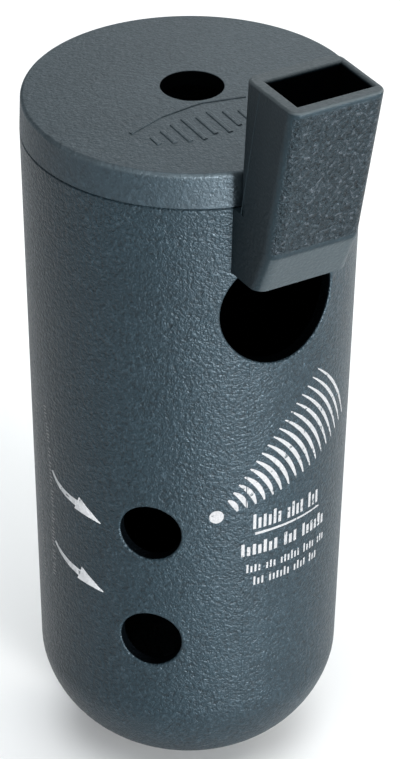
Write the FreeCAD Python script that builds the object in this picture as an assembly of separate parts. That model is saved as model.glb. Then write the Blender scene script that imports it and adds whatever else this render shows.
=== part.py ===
import FreeCAD, Part
import math
import os

# A hoot flute: an owl call blown through a mouthpiece on the side of a closed barrel.
# The barrel's axis is Z and its foot stands on Z = 0. The mouthpiece faces -Y.
# Azimuth is measured about Z from -Y towards +X. All sizes are in millimetres.

# Barrel
barrel_top_radius = 25.0
barrel_top = 103.89
taper_bottom_radius = 22.65
taper_bottom = 16.05
barrel_wall = 2.0
dome_shoulder_radius = 11.275
dome_shoulder_end = 15.08
bore_top_radius = 23.0
bore_straight = 7.5
top_edge_chamfer = 0.2

# Sound window and finger holes, all square to the barrel's axis
window_radius = 9.41
window_height = 86.02
window_azimuth = 2.1
finger_radius = 4.6
finger_heights = (28.9, 48.1)
finger_azimuth = -45.0
hole_edge_radius = 0.35

# Cap: crowned plate, skirt and a spigot that is glued inside the barrel
cap_edge_top = 109.47
cap_crown = 1.1
cap_top_radius = 24.87
cap_edge_radius = 0.6
cap_plate = 2.25
cap_hole_radius = 4.63
cap_hole_edge_radius = 0.15
spigot_radius = 22.9
spigot_inner_radius = 21.0
spigot_bottom = 98.35
spigot_chamfer = 0.5

# Mouthpiece outline; "out" is the distance in front of the barrel's axis
mouth_width = 15.3
mouth_centre = 0.25
mouth_rim = 125.62
mouth_lean = 0.225
front_out = 35.85
front_wall = 2.2
bevel_top = 100.15
lip_bottom = 93.32
lip_out = 30.6
back_out = 25.15
back_lean = 0.07
back_inner_rim_out = 28.9
back_inner_foot_out = 26.0
joint_out = 27.2
joint_lean = 0.208
seal_foot_height = 1.6
passage_width = 12.25
passage_centre = 0.7
front_edge_radius = 1.8
back_edge_radius = 1.8
rim_edge_radius = 0.45
bevel_edge_radius = 1.0

# Windway block: a wedge that squeezes the breath into a slit beside the barrel wall
slit = 1.5
block_top = 105.5
block_throat = 96.95
block_recess = 0.3

# Solids used only for cutting run this far past what they cut
over = 5.0

# Edges are picked out by their size and place, to within this much
near = 0.01
shortest_upright = 3.0


def vector(out, height):
    """A point of the plane x = 0, from its distance out in front of the axis and its height."""
    return FreeCAD.Vector(0, -out, height)


def turned(profile):
    """A solid of revolution about Z from a closed wire in the plane x = 0."""
    face = Part.Face(profile)
    return face.revolve(FreeCAD.Vector(0, 0, 0), FreeCAD.Vector(0, 0, 1), 360)


def line(start, end):
    return Part.LineSegment(vector(*start), vector(*end)).toShape()


def arc(start, middle, end):
    return Part.Arc(vector(*start), vector(*middle), vector(*end)).toShape()


def outline(points):
    """A closed wire of straight edges through (out, height) points."""
    closed = list(points) + [points[0]]
    return Part.Wire([line(a, b) for a, b in zip(closed, closed[1:])])


def slab(points, width, centre):
    """The outline through the points, extruded to a width about a centre in x."""
    face = Part.Face(outline(points))
    face.translate(FreeCAD.Vector(centre - width / 2, 0, 0))
    return face.extrude(FreeCAD.Vector(width, 0, 0))


def round_point(centre, radius, angle):
    """The point of a circle where the outward normal dips below level by the angle."""
    a = math.radians(angle)
    return (centre[0] + radius * math.cos(a), centre[1] - radius * math.sin(a))


def dome_arc(start, radius, first, last):
    """An arc of the domed end, which starts at a point, and the point where it ends."""
    a = math.radians(first)
    centre = (start[0] - radius * math.cos(a), start[1] + radius * math.sin(a))
    middle = round_point(centre, radius, (first + last) / 2)
    end = round_point(centre, radius, last)
    return arc(start, middle, end), end


def barrel_profile(inset):
    """The closed half section of the barrel, moved inwards by the inset."""
    slope = (barrel_top_radius - taper_bottom_radius) / (barrel_top - taper_bottom)
    taper = math.degrees(math.atan(slope))
    top = (barrel_top_radius - inset, barrel_top)
    taper_end = (taper_bottom_radius - inset, taper_bottom)
    shoulder, shoulder_end = dome_arc(taper_end, dome_shoulder_radius - inset, taper, dome_shoulder_end)
    dome_radius = (shoulder_end[1] - inset) / (1 - math.sin(math.radians(dome_shoulder_end)))
    dome, dome_end = dome_arc(shoulder_end, dome_radius, dome_shoulder_end, 90.0)
    edges = [line(top, taper_end), shoulder, dome]
    edges.append(line(dome_end, (0, dome_end[1])))
    edges.append(line((0, dome_end[1]), (0, barrel_top)))
    edges.append(line((0, barrel_top), top))
    return Part.Wire(edges)


def radial_hole(radius, height, azimuth):
    """A cutting rod from the axis outwards at an azimuth."""
    a = math.radians(azimuth)
    outwards = FreeCAD.Vector(math.sin(a), -math.cos(a), 0)
    return Part.makeCylinder(radius, barrel_top_radius + over, FreeCAD.Vector(0, 0, height), outwards)


def outer_hole_edges(solid, height, radius):
    """The edges where a radial hole meets the outside of the barrel."""
    found = []
    for edge in solid.Edges:
        box = edge.BoundBox
        same_height = abs((box.ZMin + box.ZMax) / 2 - height) < 0.5
        same_size = abs(box.ZLength - 2 * radius) < 0.5
        far_out = math.hypot(box.Center.x, box.Center.y) > bore_top_radius - barrel_wall
        if same_height and same_size and far_out:
            found.append((math.hypot(*edge.valueAt(edge.FirstParameter)[:2]), edge))
    outermost = max(distance for distance, edge in found)
    return [edge for distance, edge in found if outermost - distance < 0.4]


def make_barrel():
    shell = turned(barrel_profile(0.0)).cut(turned(barrel_profile(barrel_wall)))
    bore_floor = FreeCAD.Vector(0, 0, barrel_top - bore_straight)
    shell = shell.cut(Part.makeCylinder(bore_top_radius, bore_straight + over, bore_floor))
    top_edges = [e for e in shell.Edges if abs(e.BoundBox.ZMin - barrel_top) < near
                 and e.BoundBox.XMax > barrel_top_radius - near]
    shell = shell.makeChamfer(top_edge_chamfer, top_edges)
    holes = [(window_radius, window_height, window_azimuth)]
    holes += [(finger_radius, height, finger_azimuth) for height in finger_heights]
    for radius, height, azimuth in holes:
        shell = shell.cut(radial_hole(radius, height, azimuth))
    for radius, height, azimuth in holes:
        shell = shell.makeFillet(hole_edge_radius, outer_hole_edges(shell, height, radius))
    return shell


def make_cap():
    rim_arc_start = (cap_top_radius, cap_edge_top - cap_edge_radius)
    reach = cap_edge_radius * math.sqrt(0.5)
    rim_arc_middle = (cap_top_radius - cap_edge_radius + reach, cap_edge_top - cap_edge_radius + reach)
    rim_arc_end = (cap_top_radius - cap_edge_radius, cap_edge_top)
    crown_top = cap_edge_top + cap_crown
    crown_middle = (rim_arc_end[0] / 2, cap_edge_top + 0.75 * cap_crown)
    under_edge = (spigot_inner_radius, cap_edge_top + 0.25 * cap_crown - cap_plate)
    under_middle = (spigot_inner_radius / 2, crown_top - 0.2 * cap_crown - cap_plate)
    under_centre = (0, crown_top - cap_plate)
    seat_edge = (barrel_top_radius - top_edge_chamfer, barrel_top)
    skirt_edge = (barrel_top_radius, barrel_top + top_edge_chamfer)
    spigot_tip = (spigot_radius - spigot_chamfer, spigot_bottom)
    spigot_side = (spigot_radius, spigot_bottom + spigot_chamfer)
    edges = [
        line(seat_edge, skirt_edge),
        line(skirt_edge, rim_arc_start),
        arc(rim_arc_start, rim_arc_middle, rim_arc_end),
        arc(rim_arc_end, crown_middle, (0, crown_top)),
        line((0, crown_top), under_centre),
        arc(under_centre, under_middle, under_edge),
        line(under_edge, (spigot_inner_radius, spigot_bottom)),
        line((spigot_inner_radius, spigot_bottom), spigot_tip),
        line(spigot_tip, spigot_side),
        line(spigot_side, (spigot_radius, barrel_top)),
        line((spigot_radius, barrel_top), seat_edge),
    ]
    cap = turned(Part.Wire(edges))
    cap = cap.cut(Part.makeCylinder(cap_hole_radius, 4 * over, FreeCAD.Vector(0, 0, spigot_bottom)))
    mouth = [e for e in cap.Edges if abs(e.BoundBox.XMax - cap_hole_radius) < near
             and e.BoundBox.ZMin > cap_edge_top and e.BoundBox.ZLength < near]
    return cap.makeFillet(cap_hole_edge_radius, mouth)


def front_face_out(height):
    return front_out + mouth_lean * (height - cap_edge_top)


def joint_face_out(height):
    return joint_out + joint_lean * (height - cap_edge_top)


def back_face_out(height):
    return back_out + back_lean * (height - cap_edge_top)


def upright_edges(solid, nearest, furthest):
    """The upright side edges of the mouthpiece whose middle is between two distances out."""
    found = []
    for edge in solid.Edges:
        box = edge.BoundBox
        upright = box.XLength < near and box.ZLength > shortest_upright
        at_side = abs(abs(box.Center.x - mouth_centre) - mouth_width / 2) < near
        if upright and at_side and nearest < -box.Center.y < furthest:
            found.append(edge)
    return found


def mouthpiece_outline():
    """The solid outside of both mouthpiece parts together, with its rounded edges."""
    inside_barrel = barrel_top_radius - over
    points = [
        (back_face_out(mouth_rim), mouth_rim),
        (front_face_out(mouth_rim), mouth_rim),
        (front_face_out(bevel_top), bevel_top),
        (lip_out, lip_bottom),
        (inside_barrel, lip_bottom),
        (inside_barrel, barrel_top),
        (back_out, barrel_top),
        (back_out, cap_edge_top),
    ]
    solid = slab(points, mouth_width, mouth_centre)
    solid = solid.makeFillet(front_edge_radius, upright_edges(solid, lip_out, 2 * lip_out))
    solid = solid.makeFillet(back_edge_radius, upright_edges(solid, back_out - 0.1, joint_out))
    bevel = [e for e in solid.Edges if e.BoundBox.XLength > mouth_width / 2 and e.BoundBox.ZLength < near
             and abs(e.BoundBox.Center.z - bevel_top) < near and -e.BoundBox.Center.y > lip_out]
    solid = solid.makeFillet(bevel_edge_radius, bevel)
    return solid


def passage():
    """The hollow of the mouthpiece, from above the rim down past the lip."""
    above = mouth_rim + over
    seal_bottom = barrel_top - seal_foot_height
    inner_lean = (back_inner_rim_out - back_inner_foot_out) / (mouth_rim - barrel_top)
    wall_at = front_face_out(bevel_top) - front_wall
    points = [
        (back_inner_rim_out + inner_lean * over, above),
        (front_face_out(above) - front_wall, above),
        (wall_at, bevel_top),
        (lip_out - front_wall, lip_bottom),
        (lip_out - front_wall, lip_bottom - over),
        (barrel_top_radius - over, lip_bottom - over),
        (barrel_top_radius - over, seal_bottom),
        (back_inner_foot_out, seal_bottom),
        (back_inner_foot_out, barrel_top),
    ]
    return slab(points, passage_width, passage_centre)


def behind_joint():
    """Everything behind the joint of the two mouthpiece parts, down to the sealing foot."""
    above = mouth_rim + over
    inside = barrel_top_radius - over
    seal_bottom = barrel_top - seal_foot_height
    plate_points = [
        (inside, above),
        (joint_face_out(above), above),
        (joint_face_out(barrel_top), barrel_top),
        (inside, barrel_top),
    ]
    foot_points = [
        (inside, barrel_top),
        (back_inner_foot_out, barrel_top),
        (back_inner_foot_out, seal_bottom),
        (inside, seal_bottom),
    ]
    plate = slab(plate_points, mouth_width + over, mouth_centre)
    return plate.fuse(slab(foot_points, passage_width, passage_centre))


def rim_edges(solid):
    return [e for e in solid.Edges if abs(e.BoundBox.ZMin - mouth_rim) < near and e.BoundBox.ZLength < near]


def make_mouthpiece():
    """The cover with its front and sides, and the back plate, which share one joint face."""
    barrel_solid = turned(barrel_profile(0.0))
    body = mouthpiece_outline().cut(passage()).cut(barrel_solid)
    body = body.makeFillet(rim_edge_radius, rim_edges(body))
    tool = behind_joint()
    return body.cut(tool), body.common(tool)


def make_windway_block():
    bottom = lip_bottom + block_recess
    wall_at = front_face_out(bevel_top) - front_wall
    bevel_lean = (wall_at - (lip_out - front_wall)) / (bevel_top - lip_bottom)
    slit_radius = barrel_top_radius + slit
    points = [
        (front_face_out(block_top) - front_wall, block_top),
        (wall_at, bevel_top),
        (lip_out - front_wall + bevel_lean * block_recess, bottom),
        (slit_radius - over, bottom),
        (slit_radius - over, block_throat),
        (slit_radius, block_throat),
    ]
    block = slab(points, passage_width, passage_centre)
    below = FreeCAD.Vector(0, 0, bottom - over)
    return block.cut(Part.makeCylinder(slit_radius, block_throat - bottom + 2 * over, below))


def save(name, shape):
    solids = shape.Solids
    body = solids[0] if len(solids) == 1 else Part.makeCompound(solids)
    body.exportStep("parts/" + name + ".step")
    box = body.BoundBox
    print(name, "solids", len(solids), "valid", body.isValid(), "volume", round(body.Volume, 1),
          "z", round(box.ZMin, 2), round(box.ZMax, 2))


os.makedirs("parts", exist_ok=True)
cover, back_plate = make_mouthpiece()
save("barrel", make_barrel())
save("cap", make_cap())
save("mouthpiece_cover", cover)
save("mouthpiece_back", back_plate)
save("windway_block", make_windway_block())
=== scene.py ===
import bpy
import bmesh
import math
from mathutils import Matrix, Vector
from mathutils.bvhtree import BVHTree


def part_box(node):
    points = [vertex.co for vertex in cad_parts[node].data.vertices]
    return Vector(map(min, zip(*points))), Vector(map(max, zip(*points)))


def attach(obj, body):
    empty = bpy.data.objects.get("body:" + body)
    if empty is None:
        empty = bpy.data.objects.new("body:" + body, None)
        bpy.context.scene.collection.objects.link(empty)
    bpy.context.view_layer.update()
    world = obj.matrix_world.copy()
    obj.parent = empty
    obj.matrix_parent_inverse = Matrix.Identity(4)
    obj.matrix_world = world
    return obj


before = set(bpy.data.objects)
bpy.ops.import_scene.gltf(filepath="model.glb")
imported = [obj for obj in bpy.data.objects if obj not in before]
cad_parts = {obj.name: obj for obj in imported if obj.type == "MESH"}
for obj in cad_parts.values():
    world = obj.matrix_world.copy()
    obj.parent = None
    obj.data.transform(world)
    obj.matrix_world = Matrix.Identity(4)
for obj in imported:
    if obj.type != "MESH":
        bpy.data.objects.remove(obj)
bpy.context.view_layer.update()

MM = 0.001

# The camera turns about the barrel's axis; azimuth is from -Y, positive towards +X.
CAMERA_AZIMUTH = -30.96
CAMERA_ELEVATION = 31.34
CAMERA_ROLL = 0.504
CAMERA_DISTANCE = 669.65 * MM
CAMERA_LENS = 211.71
AIM_HEIGHT = 60.89 * MM
AIM_RIGHT = 1.515 * MM

# Softboxes, in watts, all aimed at one height on the axis; the world's strength is a plain factor
KEY_POWER = 17.0
TOP_POWER = 9.0
BACK_POWER = 4.0
RIGHT_POWER = 3.2
LEFT_POWER = 1.0
WORLD_STRENGTH = 0.2
LIGHT_AIM = 60 * MM
FLOOR_HALF = 2.0
FLOOR_DROP = 0.02 * MM

# Sizes of the CAD parts that their boxes don't give
TAPER_FOOT = 16.05 * MM
CAP_HOLE_RADIUS = 4.63 * MM
MOUTH_LEAN = 0.225
BEVEL_TOP = 100.15 * MM
BEVEL_LEAN = 0.461
LIP_OUT = 30.6 * MM
BACK_WALL_OUT = 28.9 * MM
BACK_WALL_LEAN = 0.1335
GRAIN_FOOT = 100.6 * MM

# The mouthpiece's joint line is this far out at the rim and at the cap's seam, in millimetres
JOINT_RIM_OUT = 30.45
JOINT_FOOT_OUT = 26.05

# Rays that find a surface start this far from the axis, or this high above the floor
CAST_OUT = 60 * MM
CAST_HEIGHT = 200 * MM

# Places on the barrel are (arc length round from -Y, height), in millimetres
INK_THICKNESS = 0.03
EMBLEM_CENTRE = (-8.6, 51.4)
EMBLEM_DIRECTION = 35.0


def direction(azimuth, elevation=0.0):
    """A unit vector from the axis towards an azimuth and elevation, in degrees."""
    a = math.radians(azimuth)
    e = math.radians(elevation)
    return Vector((math.sin(a) * math.cos(e), -math.cos(a) * math.cos(e), math.sin(e)))


# ---------------------------------------------------------------- camera, light and floor

def add_camera():
    forward = -direction(CAMERA_AZIMUTH, CAMERA_ELEVATION)
    right = forward.cross(Vector((0, 0, 1))).normalized()
    up = right.cross(forward)
    roll = math.radians(CAMERA_ROLL)
    rolled_right = math.cos(roll) * right + math.sin(roll) * up
    rolled_up = rolled_right.cross(forward)
    aim = Vector((0, 0, AIM_HEIGHT)) + AIM_RIGHT * right
    place = aim - CAMERA_DISTANCE * forward
    camera = bpy.data.objects.new("camera", bpy.data.cameras.new("camera"))
    bpy.context.scene.collection.objects.link(camera)
    turn = Matrix((rolled_right, rolled_up, -forward)).transposed()
    camera.matrix_world = Matrix.Translation(place) @ turn.to_4x4()
    camera.data.lens = CAMERA_LENS
    camera.data.clip_start = 0.01
    bpy.context.scene.camera = camera


def softbox(name, azimuth, elevation, distance, size, power, colour):
    """A soft area light whose azimuth is counted from the camera's, aimed at the object."""
    data = bpy.data.lights.new(name, "AREA")
    data.shape = "RECTANGLE"
    data.size, data.size_y = size
    data.energy = power
    data.color = colour
    light = bpy.data.objects.new(name, data)
    bpy.context.scene.collection.objects.link(light)
    away = direction(CAMERA_AZIMUTH + azimuth, elevation)
    light.location = Vector((0, 0, LIGHT_AIM)) + distance * away
    light.rotation_euler = away.to_track_quat("Z", "Y").to_euler()


def add_lights():
    softbox("key", 31, 0.5, 0.75, (0.14, 0.1), KEY_POWER, (1.0, 1.0, 1.0))
    softbox("top", 10, 75, 1.0, (0.9, 0.9), TOP_POWER, (0.97, 0.99, 1.0))
    softbox("back", 165, 35, 1.0, (0.8, 0.6), BACK_POWER, (0.94, 0.98, 1.0))
    softbox("right_rim", 128, 6, 0.7, (0.2, 0.7), RIGHT_POWER, (1.0, 0.96, 0.90))
    softbox("left_rim", -118, 4, 0.8, (0.3, 0.7), LEFT_POWER, (0.86, 0.94, 1.0))


def add_world():
    world = bpy.data.worlds.new("studio")
    bpy.context.scene.world = world
    world.use_nodes = True
    background = world.node_tree.nodes["Background"]
    background.inputs["Color"].default_value = (0.86, 0.95, 1.0, 1)
    background.inputs["Strength"].default_value = WORLD_STRENGTH


def add_floor():
    mesh = bpy.data.meshes.new("floor")
    corners = [(x * FLOOR_HALF, y * FLOOR_HALF, 0) for x, y in ((-1, -1), (1, -1), (1, 1), (-1, 1))]
    mesh.from_pydata(corners, [], [(0, 1, 2, 3)])
    floor = bpy.data.objects.new("floor", mesh)
    bpy.context.scene.collection.objects.link(floor)
    floor.location.z = -FLOOR_DROP
    floor.data.materials.append(floor_material())


# ---------------------------------------------------------------- materials

class Nodes:
    """Short names for the shader nodes that these materials are made of."""

    def __init__(self, name):
        self.material = bpy.data.materials.new(name)
        self.material.use_nodes = True
        self.tree = self.material.node_tree
        self.shader = self.tree.nodes["Principled BSDF"]
        self.place = self.add("ShaderNodeTexCoord").outputs["Object"]

    def add(self, kind):
        return self.tree.nodes.new(kind)

    def put(self, socket, value):
        if isinstance(value, bpy.types.NodeSocket):
            self.tree.links.new(value, socket)
        else:
            socket.default_value = value

    def math(self, operation, a, b=0.0):
        node = self.add("ShaderNodeMath")
        node.operation = operation
        self.put(node.inputs[0], a)
        self.put(node.inputs[1], b)
        return node.outputs[0]

    def product(self, *values):
        """All the values multiplied together."""
        result = values[0]
        for value in values[1:]:
            result = self.math("MULTIPLY", result, value)
        return result

    def noise(self, size, detail=2.0, roughness=0.5, seed=0.0):
        """Noise from about 0 to 1 whose lumps are about a size in millimetres across."""
        node = self.add("ShaderNodeTexNoise")
        node.noise_dimensions = "4D"
        self.put(node.inputs["Vector"], self.place)
        node.inputs["W"].default_value = seed
        node.inputs["Scale"].default_value = 1.0 / (size * MM)
        node.inputs["Detail"].default_value = detail
        node.inputs["Roughness"].default_value = roughness
        return node.outputs["Fac"]

    def span(self, value, low, high, to_low=0.0, to_high=1.0):
        """The value mapped smoothly from one range to another, and held at its ends."""
        node = self.add("ShaderNodeMapRange")
        node.interpolation_type = "SMOOTHSTEP"
        self.put(node.inputs["Value"], value)
        for socket, number in zip(node.inputs[1:5], (low, high, to_low, to_high)):
            socket.default_value = number
        return node.outputs["Result"]

    def blend(self, share, a, b):
        node = self.add("ShaderNodeMix")
        node.data_type = "RGBA"
        self.put(node.inputs["Factor"], share)
        self.put(node.inputs["A"], a)
        self.put(node.inputs["B"], b)
        return node.outputs["Result"]

    def axes(self):
        node = self.add("ShaderNodeSeparateXYZ")
        self.put(node.inputs[0], self.place)
        return node.outputs

    def darken(self, colour, painted_shade, gloss):
        """The base colour and gloss of the plastic, both almost gone where painted shade, a near-black, is put on
        its insides.
        """
        self.put(self.shader.inputs["Base Color"], self.blend(painted_shade, colour, PAINTED_SHADE_COLOUR))
        shown = self.math("SUBTRACT", 1.0, painted_shade)
        self.put(self.shader.inputs["Specular IOR Level"], self.math("MULTIPLY", shown, gloss))
        self.shader.inputs["Specular Tint"].default_value = COOL

    def bump(self, layers):
        """Bump from (height from 0 to 1, depth in millimetres) layers, the last on top."""
        normal = None
        for height, depth in layers:
            node = self.add("ShaderNodeBump")
            node.inputs["Distance"].default_value = depth * MM
            self.put(node.inputs["Height"], height)
            if normal is not None:
                self.put(node.inputs["Normal"], normal)
            normal = node.outputs["Normal"]
        self.put(self.shader.inputs["Normal"], normal)


# Painted shade: the near-black put on the insides of the barrel, cap and mouthpiece
PAINTED_SHADE_COLOUR = (0.001, 0.0015, 0.002, 1)
COOL = (0.72, 0.88, 1.0, 1)


def shade(colour, factor):
    return tuple(channel * factor for channel in colour[:3]) + (1.0,)


def grained(nodes, colour, grain, speckle, pale=(0.020, 0.033, 0.042, 1)):
    """Base colour with broad cloudy variation, and grain that is pale on its peaks and dark between."""
    cloudy = nodes.span(nodes.noise(14.0, 3.0, seed=3.0), 0.3, 0.7)
    broad = nodes.blend(cloudy, shade(colour, 0.9), shade(colour, 1.1))
    pits = nodes.blend(nodes.span(grain, 0.3, 0.5, speckle, 0.0), broad, shade(colour, 0.1))
    return nodes.blend(nodes.span(grain, 0.52, 0.72, 0.0, speckle), pits, pale)


def distance_from_axis(nodes, x, y):
    return nodes.math("SQRT", nodes.math("ADD", nodes.product(x, x), nodes.product(y, y)))


def barrel_material():
    nodes = Nodes("barrel_plastic")
    colour = (0.005, 0.011, 0.015)
    x, y, z = nodes.axes()
    grain = nodes.noise(0.58, 2.0, 0.7, seed=1.0)
    fine = nodes.noise(0.3, 1.0, seed=2.0)
    outside = grained(nodes, colour, grain, 0.7)
    # Painted shade: the barrel's inner wall, more than about 0.3 mm in from the outer surface and above the dome,
    # gets the near-black
    outer = nodes.math("ADD", nodes.math("MULTIPLY", z, BARREL_SLOPE), BARREL_FOOT_RADIUS)
    depth = nodes.math("SUBTRACT", outer, distance_from_axis(nodes, x, y))
    deep = nodes.span(depth, 0.12 * MM, 0.3 * MM)
    above_dome = nodes.span(z, 16.0 * MM, 18.0 * MM)
    painted_inside_shade = nodes.math("MULTIPLY", deep, above_dome)
    nodes.darken(outside, painted_inside_shade, 0.3)
    nodes.put(nodes.shader.inputs["Roughness"], nodes.span(fine, 0.3, 0.7, 0.38, 0.50))
    nodes.bump([(grain, 0.28), (fine, 0.09)])
    return nodes.material


def cap_material():
    nodes = Nodes("cap_plastic")
    colour = (0.025, 0.034, 0.039)
    grain = nodes.noise(0.6, 2.0, 0.6, seed=5.0)
    fine = nodes.noise(0.3, 1.0, seed=6.0)
    x, y, z = nodes.axes()
    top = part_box("cap")[1].z
    # Painted top light: the top plate is painted lighter than the skirt, with paler grain peaks, though both are
    # one plastic
    on_skirt = nodes.span(z, top - 2.0 * MM, top - 1.3 * MM, 1.0, 0.0)
    plate = grained(nodes, colour, grain, 0.35, (0.06, 0.075, 0.085, 1))
    outside = nodes.blend(on_skirt, plate, grained(nodes, (0.006, 0.012, 0.016), grain, 0.5))
    # Painted shade: the cap's underside inside the skirt, and the wall of its centre hole, get the near-black
    under = nodes.span(z, top - 3.2 * MM, top - 1.8 * MM, 1.0, 0.0)
    radius = distance_from_axis(nodes, x, y)
    within = nodes.span(radius, 21.5 * MM, 22.5 * MM, 1.0, 0.0)
    hole_wall_shade = nodes.span(radius, CAP_HOLE_RADIUS + 0.02 * MM, CAP_HOLE_RADIUS + 0.1 * MM, 1.0, 0.0)
    painted_shade = nodes.math("MAXIMUM", hole_wall_shade, nodes.math("MULTIPLY", under, within))
    nodes.darken(outside, painted_shade, 0.5)
    nodes.put(nodes.shader.inputs["Roughness"], nodes.span(fine, 0.3, 0.7, 0.48, 0.6))
    nodes.bump([(grain, 0.13), (fine, 0.05)])
    return nodes.material


def behind_plane(nodes, y, z, out, lean, height):
    """How far a place is behind a leaning plane that stands a distance out at a height."""
    above = nodes.math("SUBTRACT", z, height)
    plane = nodes.math("ADD", nodes.math("MULTIPLY", above, lean), out)
    return nodes.math("ADD", plane, y)


def passage_shade_mask(nodes, x, y, z, behind_front, rim):
    """Where painted shade goes: 1 in the mouthpiece's hollow and on the block in it, 0 on every outside face."""
    low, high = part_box("windway_block")
    middle = (low.x + high.x) / 2
    half = (high.x - low.x) / 2
    aside = nodes.math("ABSOLUTE", nodes.math("SUBTRACT", x, middle))
    between = nodes.span(aside, half + 0.1 * MM, half + 0.4 * MM, 1.0, 0.0)
    past_front = nodes.span(behind_front, 1.7 * MM, 2.1 * MM)
    behind_back = behind_plane(nodes, y, z, BACK_WALL_OUT, BACK_WALL_LEAN, rim)
    before_back = nodes.span(behind_back, 0.1 * MM, 0.4 * MM, 1.0, 0.0)
    below_rim = nodes.span(z, rim - 0.7 * MM, rim - 0.3 * MM, 1.0, 0.0)
    return nodes.product(between, past_front, before_back, below_rim)


def mouthpiece_material():
    """Satin sides, a rim and bevel painted paler as a highlight, coarse grain on the front face only, and a
    passage in painted shade.
    """
    nodes = Nodes("mouthpiece_plastic")
    colour = (0.004, 0.009, 0.012)
    x, y, z = nodes.axes()
    low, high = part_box("mouthpiece_cover")
    rim = high.z
    behind_front = behind_plane(nodes, y, z, 0.12 * MM - low.y, MOUTH_LEAN, rim)
    on_front = nodes.span(behind_front, 0.3 * MM, 0.9 * MM, 1.0, 0.0)
    below_rim = nodes.span(z, rim - 1.2 * MM, rim - 0.7 * MM, 1.0, 0.0)
    above_bevel = nodes.span(z, GRAIN_FOOT, GRAIN_FOOT + 0.5 * MM)
    grained_front = nodes.product(on_front, below_rim, above_bevel)
    # Painted highlight: the rim, and the bevel in part, are painted paler
    behind_bevel = behind_plane(nodes, y, z, LIP_OUT, BEVEL_LEAN, low.z)
    on_bevel = nodes.span(behind_bevel, 0.3 * MM, 0.7 * MM, 0.35, 0.0)
    below_front = nodes.span(z, BEVEL_TOP - 0.6 * MM, BEVEL_TOP, 1.0, 0.0)
    on_rim = nodes.span(z, rim - 0.4 * MM, rim - 0.1 * MM)
    painted_highlight = nodes.math("MAXIMUM", nodes.product(below_front, on_bevel), on_rim)
    coarse = nodes.noise(0.62, 2.0, 0.7, seed=8.0)
    satin = nodes.noise(0.5, 2.0, 0.5, seed=9.0)
    smooth = nodes.blend(painted_highlight, grained(nodes, colour, satin, 0.15), (0.05, 0.060, 0.064, 1))
    rough = grained(nodes, shade(colour, 0.8), coarse, 1.0, (0.040, 0.048, 0.056, 1))
    plastic = nodes.blend(grained_front, smooth, rough)
    nodes.darken(plastic, passage_shade_mask(nodes, x, y, z, behind_front, rim), 0.24)
    nodes.put(nodes.shader.inputs["Roughness"], nodes.span(satin, 0.3, 0.7, 0.44, 0.56))
    lumps = nodes.product(nodes.math("SUBTRACT", coarse, 0.5), grained_front)
    nodes.bump([(lumps, 1.1), (satin, 0.1)])
    return nodes.material


def ink_material(name, strength):
    nodes = Nodes(name)
    grain = nodes.noise(0.75, 2.0, 0.6, seed=1.0)
    worn = nodes.span(grain, 0.3, 0.42, 1.0, 0.0)
    patchy = nodes.noise(1.6, 2.0, seed=11.0)
    # The tone is scaled by a painted light factor, lighter on prints that the key lamp hardly reaches
    tone = nodes.blend(patchy, shade((0.38, 0.39, 0.40), strength), shade((0.50, 0.51, 0.53), strength))
    nodes.put(nodes.shader.inputs["Base Color"], nodes.blend(worn, tone, (0.02, 0.03, 0.035, 1)))
    nodes.put(nodes.shader.inputs["Roughness"], nodes.span(grain, 0.3, 0.7, 0.5, 0.65))
    nodes.bump([(grain, 0.2)])
    return nodes.material


def floor_material():
    nodes = Nodes("pale_floor")
    soft = nodes.noise(60.0, 2.0, seed=13.0)
    nodes.put(nodes.shader.inputs["Base Color"], nodes.blend(soft, (0.86, 0.86, 0.86, 1), (0.90, 0.90, 0.90, 1)))
    nodes.put(nodes.shader.inputs["Roughness"], nodes.span(soft, 0.3, 0.7, 0.75, 0.85))
    return nodes.material


# ---------------------------------------------------------------- thin marks that follow a surface

def tree_of(node):
    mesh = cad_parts[node].data
    return BVHTree.FromPolygons([v.co for v in mesh.vertices], [p.vertices for p in mesh.polygons])


def on_barrel(place):
    """The surface point and normal at (arc length round from -Y, height), in millimetres."""
    arc, height = place
    outwards = direction(math.degrees(arc / barrel_radius(height)))
    start = outwards * CAST_OUT + Vector((0, 0, height * MM))
    point, _, _, _ = BARREL_TREE.ray_cast(start, -outwards)
    return point, outwards


def on_cap(place):
    """The surface point and normal on the cap's top at (x, y), in millimetres."""
    start = Vector((place[0] * MM, place[1] * MM, CAST_HEIGHT))
    point, _, _, _ = CAP_TREE.ray_cast(start, Vector((0, 0, -1)))
    return point, Vector((0, 0, 1))


def on_side(side, outwards):
    """A surface for (distance out, height) places on one flat side of the mouthpiece."""
    def surface(place):
        return Vector((side, -place[0] * MM, place[1] * MM)), Vector((outwards, 0, 0))
    return surface


def resample(points, step):
    """The points with more between them, no further apart than a step."""
    out = [points[0]]
    for a, b in zip(points, points[1:]):
        count = max(1, math.ceil(math.dist(a[:2], b[:2]) / step))
        for i in range(1, count + 1):
            out.append(tuple(p + (q - p) * i / count for p, q in zip(a, b)))
    return out


FLAT = [(-1.0, 1.0), (-0.5, 1.0), (0.0, 1.0), (0.5, 1.0), (1.0, 1.0)]
ROUNDED = [(-1.0, 0.15), (-0.9, 0.6), (-0.65, 0.93), (-0.3, 1.0),
           (0.3, 1.0), (0.65, 0.93), (0.9, 0.6), (1.0, 0.15)]


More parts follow.
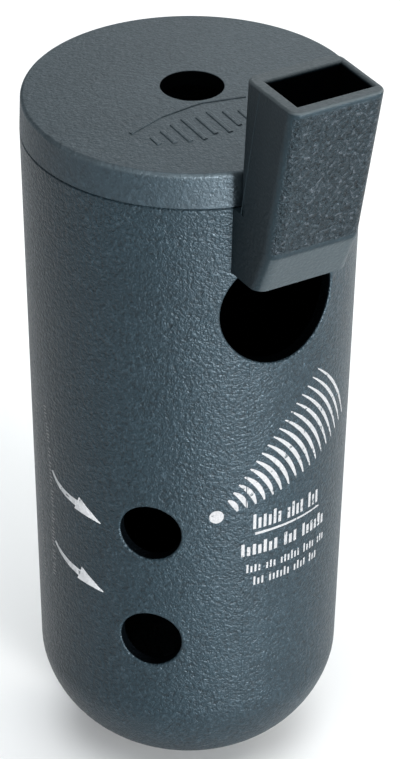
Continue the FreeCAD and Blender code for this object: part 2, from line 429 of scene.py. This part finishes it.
def ribbon(mesh, path, surface, height, section=FLAT, sunk=0.02, step=0.5):
    """Adds a closed raised band along (u, v, half width) points laid on a surface, in millimetres."""
    path = resample(path, step)
    rings = []
    for i, (u, v, half) in enumerate(path):
        before = path[max(i - 1, 0)]
        after = path[min(i + 1, len(path) - 1)]
        along = Vector((after[0] - before[0], after[1] - before[1])).normalized()
        across = Vector((-along.y, along.x))
        top = []
        bottom = []
        for share, rise in section:
            point, normal = surface((u + across.x * half * share, v + across.y * half * share))
            top.append(mesh.verts.new(point + normal * height * rise * MM))
            bottom.append(mesh.verts.new(point - normal * sunk * MM))
        rings.append(top + bottom[::-1])
    for a, b in zip(rings, rings[1:]):
        for i in range(len(a)):
            j = (i + 1) % len(a)
            mesh.faces.new((a[i], a[j], b[j], b[i]))
    mesh.faces.new(rings[0][::-1])
    mesh.faces.new(rings[-1])


def finish_piece(name, mesh, material):
    bmesh.ops.recalc_face_normals(mesh, faces=mesh.faces)
    data = bpy.data.meshes.new(name)
    mesh.to_mesh(data)
    mesh.free()
    piece = bpy.data.objects.new(name, data)
    bpy.context.scene.collection.objects.link(piece)
    data.materials.append(material)
    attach(piece, "root")


def curve(points, count):
    """Evenly spread points of the quadratic curve that passes through three."""
    start, through, end = points
    bend = [2 * b - (a + c) / 2 for a, b, c in zip(start, through, end)]
    out = []
    for i in range(count + 1):
        t = i / count
        out.append([(1 - t) ** 2 * a + 2 * t * (1 - t) * b + t * t * c for a, b, c in zip(start, bend, end)])
    return out


def arrow(mesh, tail, through, neck, tip):
    """A curved tapering arrow that points at a finger hole."""
    shaft = curve((tail, through, neck), 8)
    ribbon(mesh, [(u, v, 0.2 + 0.05 * i) for i, (u, v) in enumerate(shaft)], on_barrel, INK_THICKNESS)
    back = (neck[0] - 0.1 * (tip[0] - neck[0]), neck[1] - 0.1 * (tip[1] - neck[1]))
    ribbon(mesh, [back + (1.3,), tip + (0.06,)], on_barrel, INK_THICKNESS + 0.005)


def add_arrows():
    mesh = bmesh.new()
    arrow(mesh, (-37.2, 52.2), (-34.7, 50.3), (-30.7, 49.4), (-26.5, 47.7))
    arrow(mesh, (-36.6, 39.6), (-33.8, 37.9), (-30.1, 36.9), (-25.9, 35.4))
    finish_piece("print_arrows", mesh, ARROW_INK_PAINTED_LIGHTER)


def ticks(mesh, path, height, pitch, groups, half):
    """A row of short strokes square to a path, in groups, each on the path's left-hand side."""
    points = resample(path, pitch)
    upto = 0
    for group in groups:
        for k in range(group):
            i = upto + k
            if i + 1 >= len(points):
                return
            (u, v), after = points[i], points[i + 1]
            along = Vector((after[0] - u, after[1] - v)).normalized()
            rise = height * (1.0, 0.72, 0.86, 0.72)[i % 4]
            end = (u - along.y * rise, v + along.x * rise)
            ribbon(mesh, [(u, v, half), end + (half,)], on_barrel, INK_THICKNESS)
        upto += group + 1


def add_side_print():
    mesh = bmesh.new()
    inner = [(-39.9, 62.4), (-38.7, 56.8), (-37.7, 46.4), (-37.4, 32.6)]
    outer = [(-43.7, 60.4), (-42.9, 50.5), (-41.6, 40.2), (-40.8, 30.4)]
    ticks(mesh, inner, 0.9, 0.62, (4, 6, 3, 7, 5, 4, 6, 3, 5), 0.11)
    ticks(mesh, outer, 0.8, 0.58, (5, 3, 6, 4, 7, 3, 5, 6, 4, 5), 0.09)
    finish_piece("print_side_ticks", mesh, FAINT_INK)


def add_front_print():
    mesh = bmesh.new()
    ticks(mesh, [(-2.65, 48.2), (10.2, 48.2)], 2.6, 0.86, (6, 4, 3), 0.24)
    ribbon(mesh, [(-2.5, 47.35, 0.22), (10.1, 47.35, 0.14)], on_barrel, INK_THICKNESS)
    ticks(mesh, [(-4.4, 43.6), (12.0, 43.6)], 2.2, 0.92, (7, 3, 7), 0.27)
    ticks(mesh, [(-3.6, 40.5), (12.1, 40.5)], 1.5, 0.68, (4, 3, 6, 4, 3), 0.16)
    ticks(mesh, [(-2.4, 38.1), (10.9, 38.1)], 1.5, 0.7, (3, 6, 4, 3), 0.16)
    finish_piece("print_front_ticks", mesh, INK)


def add_emblem():
    """Sound waves that spread from a dot: concentric arcs that grow longer and thinner."""
    mesh = bmesh.new()
    u, v = EMBLEM_CENTRE
    dot = [(u + 1.1 * math.cos(a), v, 1.1 * math.sin(a)) for a in (math.radians(12 * i) for i in range(14, 0, -1))]
    ribbon(mesh, dot, on_barrel, INK_THICKNESS, step=0.3)
    for i in range(17):
        radius = 3.2 + 1.48 * i
        spread = 24.0 - 0.5 * i
        points = []
        for j in range(-8, 9):
            a = math.radians(EMBLEM_DIRECTION + spread * j / 8)
            half = (0.42 - 0.01 * i) * (1.0 - 0.7 * (j / 8) ** 2)
            points.append((u + radius * math.cos(a), v + radius * math.sin(a), half))
        ribbon(mesh, points, on_barrel, INK_THICKNESS)
    finish_piece("print_wave_emblem", mesh, INK)


def add_cap_device():
    """A raised bowed line with a row of raised level bars under it."""
    mesh = bmesh.new()
    bowed = [(-14.6, -7.6, 0.3), (-8.6, -5.8, 0.3), (-1.7, -5.2, 0.3), (5.0, -6.6, 0.3)]
    ribbon(mesh, bowed, on_cap, 0.16, ROUNDED)
    for i, length in enumerate((2.2, 3.6, 5.2, 6.4, 5.2, 6.4, 4.4, 2.8)):
        u = -12.6 + 2.1 * i
        ribbon(mesh, [(u, -11.2 - length / 2, 0.4), (u, -11.2 + length / 2, 0.4)], on_cap, 0.16, ROUNDED)
    finish_piece("cap_raised_device", mesh, CAP_PLASTIC)


def add_mould_lines():
    """The faint raised lines that the two halves of the mould leave down the barrel."""
    mesh = bmesh.new()
    for azimuth, top in ((-10.0, 77.4), (170.0, 103.4)):
        points = [(math.radians(azimuth) * barrel_radius(h), h, 0.08) for h in (top, 60.0, 40.0, 16.5)]
        ribbon(mesh, points, on_barrel, 0.04, ROUNDED, step=2.0)
    finish_piece("barrel_mould_lines", mesh, BARREL_PLASTIC)


def add_joint_lines():
    """The fine raised bead where the mouthpiece's back plate is glued into its cover."""
    low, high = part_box("mouthpiece_cover")
    path = [(JOINT_RIM_OUT, high.z / MM - 0.5, 0.09), (JOINT_FOOT_OUT, BARREL_TOP / MM + 0.1, 0.09)]
    for name, side, outwards in (("left", low.x, -1), ("right", high.x, 1)):
        mesh = bmesh.new()
        ribbon(mesh, path, on_side(side, outwards), 0.07, ROUNDED, step=2.0)
        finish_piece("mouthpiece_joint_line_" + name, mesh, MOUTH_PLASTIC)


# ---------------------------------------------------------------- the whole object

def outermost(node, height, tolerance):
    """The largest radius of a node's mesh near a height, in metres."""
    found = [math.hypot(v.co.x, v.co.y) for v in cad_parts[node].data.vertices
             if abs(v.co.z - height) < tolerance]
    return max(found)


BARREL_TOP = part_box("barrel")[1].z
BARREL_TOP_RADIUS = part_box("barrel")[1].x
TAPER_FOOT_RADIUS = outermost("barrel", TAPER_FOOT, 0.3 * MM)
BARREL_SLOPE = (BARREL_TOP_RADIUS - TAPER_FOOT_RADIUS) / (BARREL_TOP - TAPER_FOOT)
BARREL_FOOT_RADIUS = BARREL_TOP_RADIUS - BARREL_SLOPE * BARREL_TOP
BARREL_TREE = tree_of("barrel")
CAP_TREE = tree_of("cap")


def barrel_radius(height):
    """The barrel's outer radius at a height, both in millimetres."""
    return BARREL_FOOT_RADIUS / MM + BARREL_SLOPE * height


BARREL_PLASTIC = barrel_material()
CAP_PLASTIC = cap_material()
MOUTH_PLASTIC = mouthpiece_material()
# The ink is one colour whose strength is painted light: the arrows, which the key lamp hardly reaches, are painted
# lighter, and the front print and emblem in the key's light darker; the side ticks are fainter still
ARROW_INK_PAINTED_LIGHTER = ink_material("print_ink_painted_lighter", 0.85)
INK = ink_material("print_ink", 0.42)
FAINT_INK = ink_material("print_ink_faint", 0.35)

CAD_MATERIALS = {
    "barrel": BARREL_PLASTIC,
    "cap": CAP_PLASTIC,
    "mouthpiece_cover": MOUTH_PLASTIC,
    "mouthpiece_back": MOUTH_PLASTIC,
    "windway_block": MOUTH_PLASTIC,
}
for node, material in CAD_MATERIALS.items():
    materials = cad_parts[node].data.materials
    materials.clear()
    materials.append(material)

add_arrows()
add_side_print()
add_front_print()
add_emblem()
add_cap_device()
add_mould_lines()
add_joint_lines()
add_floor()
add_world()
add_lights()
add_camera()
bpy.context.scene.view_settings.view_transform = "Standard"
